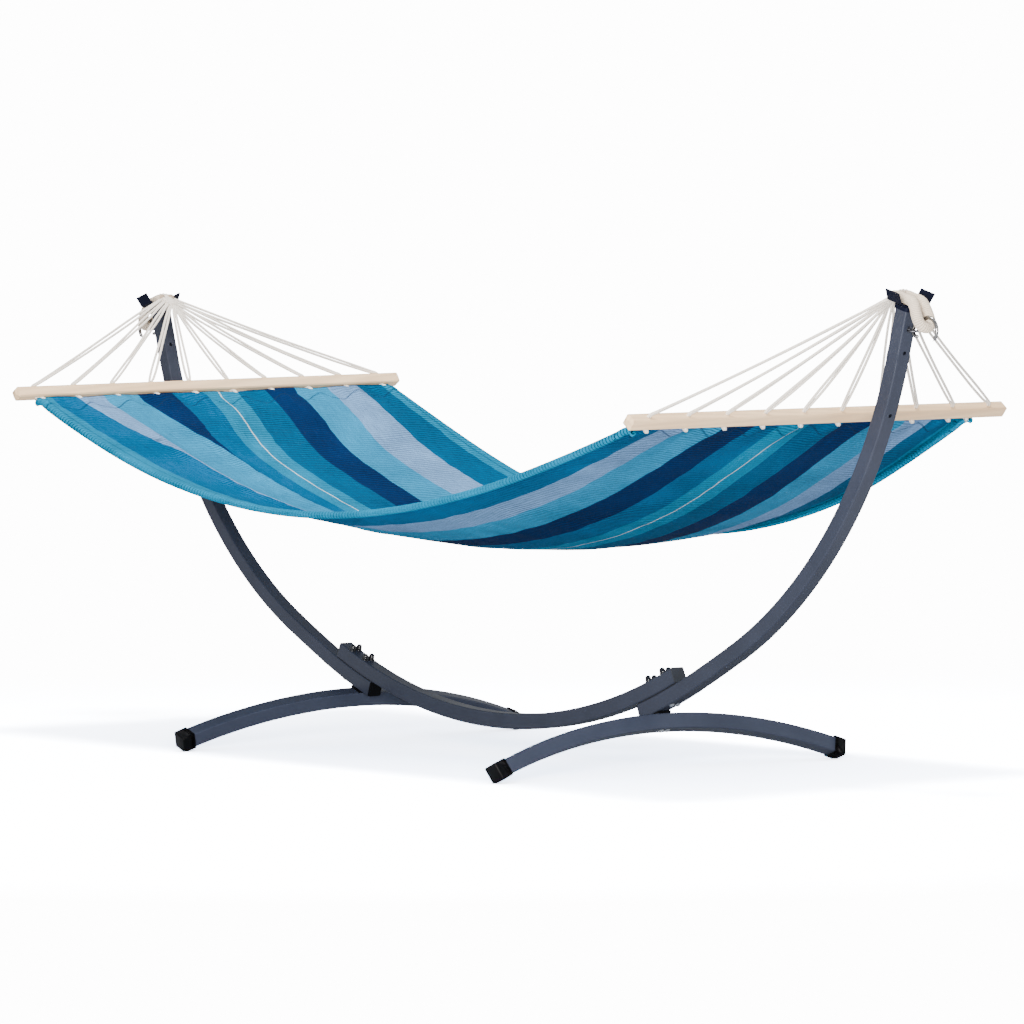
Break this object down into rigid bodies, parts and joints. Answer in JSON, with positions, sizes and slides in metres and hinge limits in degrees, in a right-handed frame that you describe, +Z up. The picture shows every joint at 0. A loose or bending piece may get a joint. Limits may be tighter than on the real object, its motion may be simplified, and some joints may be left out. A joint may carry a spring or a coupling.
{
  "type": "hammock on stand",
  "caption": "Striped cloth hammock with wooden spreader bars, slung by fans of cord from an arched steel stand on curved cross feet.",
  "frame": {"origin": "on the floor under the middle of the stand", "axes": "+X along the hammock towards the end whose bar leans most, +Y across it, +Z up"},
  "size_m": [3.3012, 1.2446, 1.2018],
  "materials": {
    "stand_paint": "satin slate-blue powder coat",
    "pad_rubber": "matt black",
    "black_plastic": "satin black",
    "bolt_steel": "zinc plated, shiny",
    "nut_cover": "glossy black",
    "cradle_paint": "satin blue-black powder coat",
    "dark_steel": "dark zinc",
    "hook_steel": "polished dark steel",
    "rope": "cream cotton, whipped with twine",
    "cord": "off-white cotton",
    "beech": "clear satin varnish",
    "cloth": "woven cotton with lengthwise stripes"
  },
  "bodies": {
    "stand": {"centre_arc": "stand_paint", "arm_left": "stand_paint", "arm_right": "stand_paint", "foot_left": "stand_paint", "foot_right": "stand_paint", "lap_pads": "pad_rubber", "foot_saddles": "black_plastic", "arc_end_plugs": "black_plastic", "arm_end_plugs": "black_plastic", "foot_caps_left": "black_plastic", "foot_caps_right": "black_plastic", "long_bolts": "bolt_steel", "short_bolts": "bolt_steel", "cap_nuts": "nut_cover", "cradle_left": "cradle_paint", "cradle_right": "cradle_paint", "eye_bolt_left": "dark_steel", "eye_bolt_right": "dark_steel", "hook_left": "hook_steel", "hook_right": "hook_steel", "rope_loop_left": "rope", "rope_loop_right": "rope"},
    "hammock": {"clew_cords_left": "cord", "clew_cords_right": "cord", "spreader_bar_left": "beech", "spreader_bar_right": "beech", "hem_rope_left": "cord", "hem_rope_right": "cord", "cloth_bed": "cloth"}
  },
  "joints": [
    {"name": "hammock_swing", "type": "hinge", "parent": "stand", "child": "hammock", "pos_m": [0, 0, 1.17877], "axis": [1, 0, 0], "range_deg": [-30, 30]}
  ]
}
